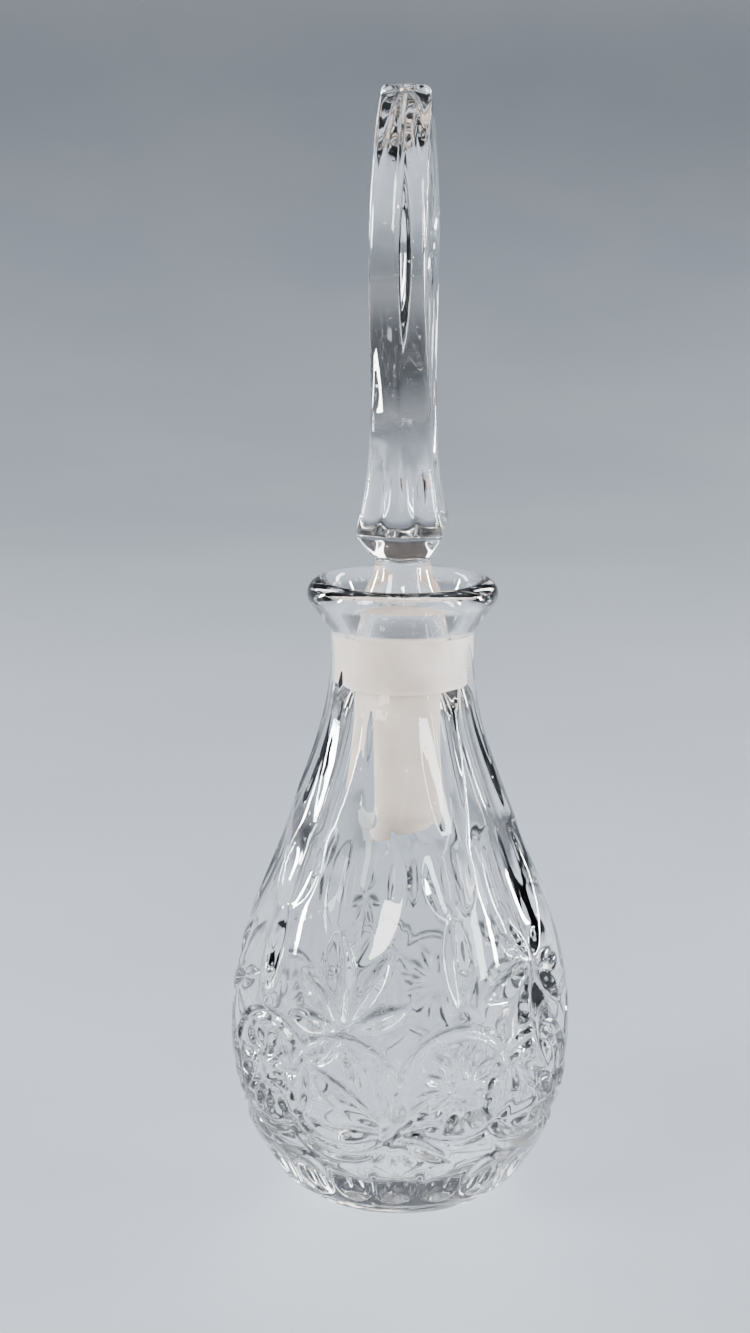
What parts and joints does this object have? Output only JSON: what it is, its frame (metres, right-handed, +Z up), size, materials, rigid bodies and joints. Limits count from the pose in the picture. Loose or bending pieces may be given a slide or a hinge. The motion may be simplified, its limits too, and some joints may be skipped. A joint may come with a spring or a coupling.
{
  "type": "perfume bottle",
  "caption": "Pear-shaped cut-crystal perfume bottle with a flared lip, fluted neck and star cuts, closed by a tall flat stopper with a long ground plug.",
  "frame": {"origin": "centre of the foot's flat ring, on the axis of the body, neck and stopper, at the surface it stands on", "axes": "+Z up along the axis that the body and stopper share; the finial's broad faces look along +X and -X"},
  "size_m": [0.062, 0.062, 0.2],
  "materials": {
    "crystal": "clear fire-polished lead crystal with soft-edged cuts; the bore in the neck is finely ground and frosted",
    "stopper_crystal": "clear polished lead crystal above; the long plug is finely ground, frosted and whitish"
  },
  "bodies": {
    "bottle": {"bottle": "crystal"},
    "stopper": {"stopper": "stopper_crystal"}
  },
  "joints": [
    {"name": "stopper_lift", "type": "slide", "parent": "bottle", "child": "stopper", "axis": [0, 0, 1], "range_m": [0, 0.06]}
  ]
}
